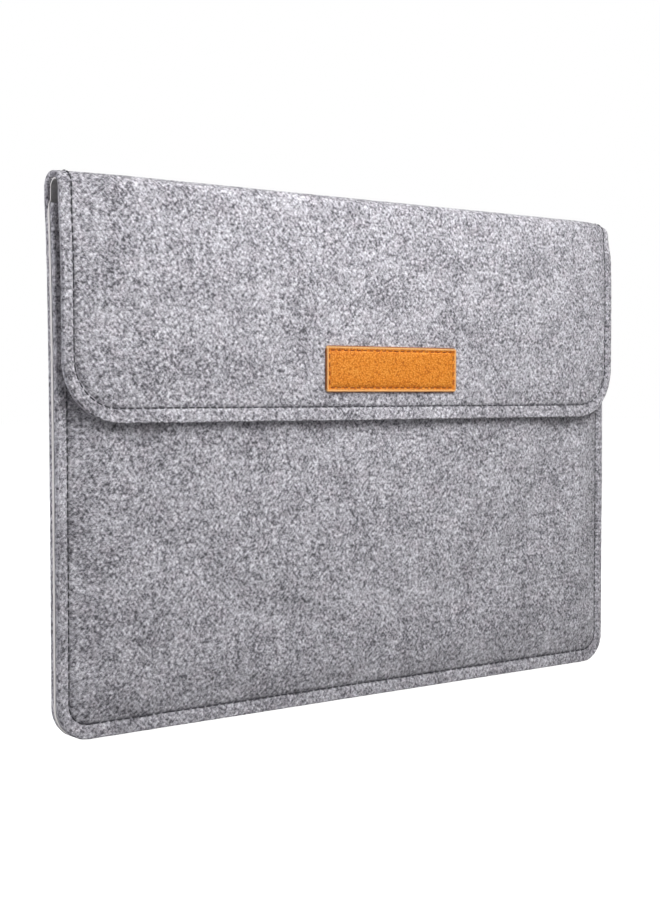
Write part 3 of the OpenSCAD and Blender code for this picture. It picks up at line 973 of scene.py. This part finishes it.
LABEL_W = high("label")[0] - low("label")[0]
LABEL_H = high("label")[2] - low("label")[2]
LABEL_X = (high("label")[0] + low("label")[0]) / 2
LABEL_V = (high("label")[2] + low("label")[2]) / 2 - FLAP_LOW
LABEL_T = high("label")[1] - low("label")[1]
LABEL_R = 2.2 * MM
LABEL_INSET = 2.3 * MM


def label_distance(a, b):
    past_a = np.abs(a) - (LABEL_W / 2 - LABEL_R)
    past_b = np.abs(b) - (LABEL_H / 2 - LABEL_R)
    straight = np.minimum(LABEL_W / 2 - np.abs(a), LABEL_H / 2 - np.abs(b))
    around = LABEL_R - np.hypot(np.maximum(past_a, 0), np.maximum(past_b, 0))
    return np.where((past_a > 0) & (past_b > 0), around, straight)


def label_place(a, v, dents=1):
    """The label's face: pillowed between its stitches, with a raised rim outside them."""
    b = v - LABEL_H / 2
    d = label_distance(a, b)
    pillow = 0.3 * MM * smooth((d - LABEL_INSET) / (3 * MM))
    dent = 0.5 * MM * np.exp(-(((d - LABEL_INSET) / (0.55 * MM)) ** 2))
    x, w = LABEL_X + a, LABEL_V + b
    return flap.place(x, w) + flap.normal(x, w) * (LABEL_T + pillow - dents * dent)[..., None]


def label_half(v):
    b = abs(v - LABEL_H / 2) - (LABEL_H / 2 - LABEL_R)
    return LABEL_W / 2 - LABEL_R + math.sqrt(max(LABEL_R**2 - max(b, 0) ** 2, 0))


def label_columns(step):
    count = int(LABEL_W / step)
    return np.linspace(-LABEL_W / 2, LABEL_W / 2, count + 1)


label_sheet = Sheet(label_place, 1)
label_arc = LABEL_R * (1 - np.cos(np.radians(np.arange(0, 90, 15))))
label_rows = np.unique(np.round(np.concatenate([
    label_arc, np.linspace(LABEL_R, LABEL_H - LABEL_R, 52), LABEL_H - label_arc]), 7))
finish(shell("leather_label", label_sheet, label_columns(0.4 * MM), label_rows, label_half, 0.0,
             LABEL_T + 0.25 * MM, edge_r=0.5 * MM, rough=0.02 * MM, lump=0.03 * MM, power=12,
             distance=lambda a, v: label_distance(a, v - LABEL_H / 2)),
       leather_material(LABEL_W / MM, LABEL_H / MM), ["label"], body="flap")
finish(stitch_mesh("label_stitches", label_sheet,
                   box_routes(0, LABEL_H / 2, LABEL_W - 2 * LABEL_INSET, LABEL_H - 2 * LABEL_INSET),
                   lift=0.1 * MM, radius=0.3 * MM, length=2.9 * MM),
       label_thread_look, ["label_thread"], body="flap")


# ---- Hook and loop tapes ----

def tape_sheet(surface, sign, node, v_base, near):
    """A tape's outer face, laid on a sheet at a depth from the sheet's face."""
    cx = (low(node)[0] + high(node)[0]) / 2
    low_v = low(node)[2] - v_base

    def place(a, v, dents=1):
        return surface.inside(cx + a, low_v + v, near)

    return Sheet(place, surface.side * sign)


PILE_PITCH = 1.5 * MM
LOOP_TALL = 0.7 * MM
HOOK_TALL = 0.75 * MM
PILE_THICK = 0.11 * MM
PILE_ROOT = 0.1 * MM
PILE_SIDES = 5


def pile(name, sheet, width, height, hooked, seed):
    """Rows of small loops, or of hooks when hooked, standing on a tape."""
    pitch = PILE_PITCH
    tall = HOOK_TALL if hooked else LOOP_TALL
    nx, nv = int((width - 2 * pitch) / pitch), int((height - 2 * pitch) / pitch)
    a, v = np.meshgrid(np.linspace(-width / 2 + pitch, width / 2 - pitch, nx),
                       np.linspace(pitch, height - pitch, nv))
    a, v = a.ravel(), v.ravel()
    dice = np.random.default_rng(seed)
    a = a + dice.uniform(-0.15, 0.15, a.shape) * pitch
    v = v + dice.uniform(-0.15, 0.15, v.shape) * pitch
    lean = dice.uniform(-0.35, 0.35, a.shape) if hooked else dice.uniform(0, math.pi, a.shape)
    root = sheet.place(a, v)
    up = sheet.normal(a, v)
    side = np.cross(up, np.array([1.0, 0, 0]))
    side /= np.linalg.norm(side, axis=1, keepdims=True)
    flat = np.cross(side, up)
    lay = side * np.cos(lean)[:, None] + flat * np.sin(lean)[:, None]
    bend = np.linspace(0, 1.35 * math.pi if hooked else math.pi, 8)
    r = tall / 3 if hooked else tall / 2
    if hooked:
        out = np.concatenate([[0, 0], r * (1 - np.cos(bend[1:]))])
        rise = np.concatenate([[-PILE_ROOT, tall - r], tall - r + r * np.sin(bend[1:])])
    else:
        out = r * (1 - np.cos(bend)) - r
        rise = tall * np.sin(bend) - PILE_ROOT
    path = root[:, None] + lay[:, None] * out[None, :, None] + up[:, None] * rise[None, :, None]
    along = np.gradient(path, axis=1)
    along /= np.linalg.norm(along, axis=-1, keepdims=True)
    cross = np.cross(lay, up)[:, None] + 0 * along
    third = np.cross(along, cross)
    around = np.linspace(0, 2 * np.pi, PILE_SIDES, endpoint=False)
    ring = (cross[:, :, None] * np.cos(around)[None, None, :, None]
            + third[:, :, None] * np.sin(around)[None, None, :, None]) * PILE_THICK
    points = path[:, :, None] + ring
    one = np.arange(path.shape[1] * PILE_SIDES).reshape(path.shape[1], PILE_SIDES)
    quads = np.stack([one[:-1], np.roll(one, -1, 1)[:-1], np.roll(one, -1, 1)[1:], one[1:]], -1).reshape(-1, 4)
    faces = []
    for k in range(len(a)):
        start = k * one.size
        faces.extend((quads + start).tolist())
        faces.append((one[0][::-1] + start).tolist())
        faces.append((one[-1] + start).tolist())
    grain = np.repeat(np.stack([a, v, 0 * a], -1)[:, None], one.size, 1).reshape(-1, 3) / MM
    return build(name, points.reshape(-1, 3), faces, {"sheet": grain})


def tape(node, surface, sign, v_base, near, look, body, hooked, seed):
    """A tape's woven backing and, standing on it, its hooks or loops."""
    width = high(node)[0] - low(node)[0]
    height = high(node)[2] - low(node)[2]
    thickness = high(node)[1] - low(node)[1]
    sheet = tape_sheet(surface, sign, node, v_base, near)
    cols = np.linspace(-width / 2, width / 2, int(width / MM) + 1)
    rows = np.linspace(0, height, int(height / MM) + 1)
    finish(shell(node + "_backing", sheet, cols, rows, lambda v: width / 2, 0.0, thickness,
                 edge_r=0.15 * MM, rough=0.02 * MM, layers=2, lump=0.02 * MM, power=12),
           look, [node], body=body)
    kind = "_hooks" if hooked else "_loops"
    finish(pile(node + kind, sheet, width, height, hooked, seed), look, [node], body=body)
    return sheet, width, height


LOOP_NEAR = -(high("loop_tape_left")[1] - low("loop_tape_left")[1] + PLY_GAP)
HOOK_NEAR = PLIES + high("hook_tape_left")[1] - low("hook_tape_left")[1]
TAPE_INSET = 1.2 * MM
for family, surface, sign, v_base, near, look, slot, body, hooked in (
        ("loop_tape", front, 1, 0.0, LOOP_NEAR, loop_look, "loop_tape", "pocket", False),
        ("hook_tape", flap, -1, FLAP_LOW, HOOK_NEAR, hook_look, "hook_tape", "flap", True)):
    for seed, hand in enumerate(("left", "right")):
        node = family + "_" + hand
        sheet, width, height = tape(node, surface, sign, v_base, near, look, body, hooked, seed + 1)
        sewn = stitch_mesh(node + "_stitches", sheet,
                           box_routes(0, height / 2, width - 2 * TAPE_INSET, height - 2 * TAPE_INSET),
                           lift=0.12 * MM)
        finish(sewn, thread, [family + "_thread"], body=body)


# ---- Floor, light and camera ----

def area_light(name, place, target, size, power, colour=(1, 1, 1)):
    data = bpy.data.lights.new(name, "AREA")
    data.shape = "DISK"
    data.size = size
    data.energy = power
    data.color = colour
    lamp = bpy.data.objects.new(name, data)
    lamp.location = place
    lamp.rotation_euler = (Vector(target) - Vector(place)).to_track_quat("-Z", "Y").to_euler()
    bpy.context.scene.collection.objects.link(lamp)


AMBIENT = 0.06                                   # light that the white surroundings give the sleeve
BACKDROP = 1.0                                   # how bright the surroundings look to the camera


def stage():
    """A plain pale floor under soft studio light."""
    reach = 6.0
    drop = 0.2 * MM
    mesh = bpy.data.meshes.new("floor")
    mesh.from_pydata([(-reach, -reach, -drop), (reach, -reach, -drop), (reach, reach, -drop),
                      (-reach, reach, -drop)], [], [(0, 1, 2, 3)])
    floor = bpy.data.objects.new("floor", mesh)
    floor.data.materials.append(floor_material())
    bpy.context.scene.collection.objects.link(floor)
    world = bpy.data.worlds.new("studio")
    world.use_nodes = True
    tree = world.node_tree
    sky = tree.nodes["Background"]
    seen = tree.nodes.new("ShaderNodeLightPath")
    level = tree.nodes.new("ShaderNodeMapRange")
    level.inputs["To Min"].default_value = AMBIENT
    level.inputs["To Max"].default_value = BACKDROP
    tree.links.new(seen.outputs["Is Camera Ray"], level.inputs["Value"])
    tree.links.new(level.outputs[0], sky.inputs["Strength"])
    sky.inputs["Color"].default_value = (1, 1, 1, 1)
    bpy.context.scene.world = world
    bpy.context.scene.view_settings.view_transform = "Standard"
    upper = (0, 0, 0.8 * TOP)
    area_light("key", (0.0, -0.35, 0.5), upper, 0.42, 2.7)
    area_light("fill_right", (0.7, -1.2, 0.4), upper, 1.0, 1.3, (1.0, 0.98, 0.99))
    area_light("fill_left", (-0.6, -1.1, 0.45), (-0.5 * HALF_W, 0, 0), 0.8, 1.0, (0.96, 0.97, 1.0))
    area_light("side", (-1.0, 0.3, 0.35), (-HALF_W, 0, 0.5 * TOP), 0.5, 6.0, (0.97, 0.97, 1.0))
    area_light("behind", (0.7, 1.1, 0.6), upper, 1.0, 9.0)


EYE = (-489.9 * MM, -602.9 * MM + SEAM_Y, 155.3 * MM)
EYE_DOWN = 2.19                                  # degrees below level
EYE_TURN = 37.86                                 # degrees to the right of straight back
LENS = 60.95


def camera():
    """The viewing angle: from the left of the front, level with the middle of the sleeve."""
    data = bpy.data.cameras.new("camera")
    data.sensor_fit = "VERTICAL"
    data.sensor_height = 36
    data.lens = LENS
    eye = bpy.data.objects.new("camera", data)
    eye.location = EYE
    eye.rotation_euler = (math.radians(90 - EYE_DOWN), 0, -math.radians(EYE_TURN))
    bpy.context.scene.collection.objects.link(eye)
    bpy.context.scene.camera = eye


stage()
camera()
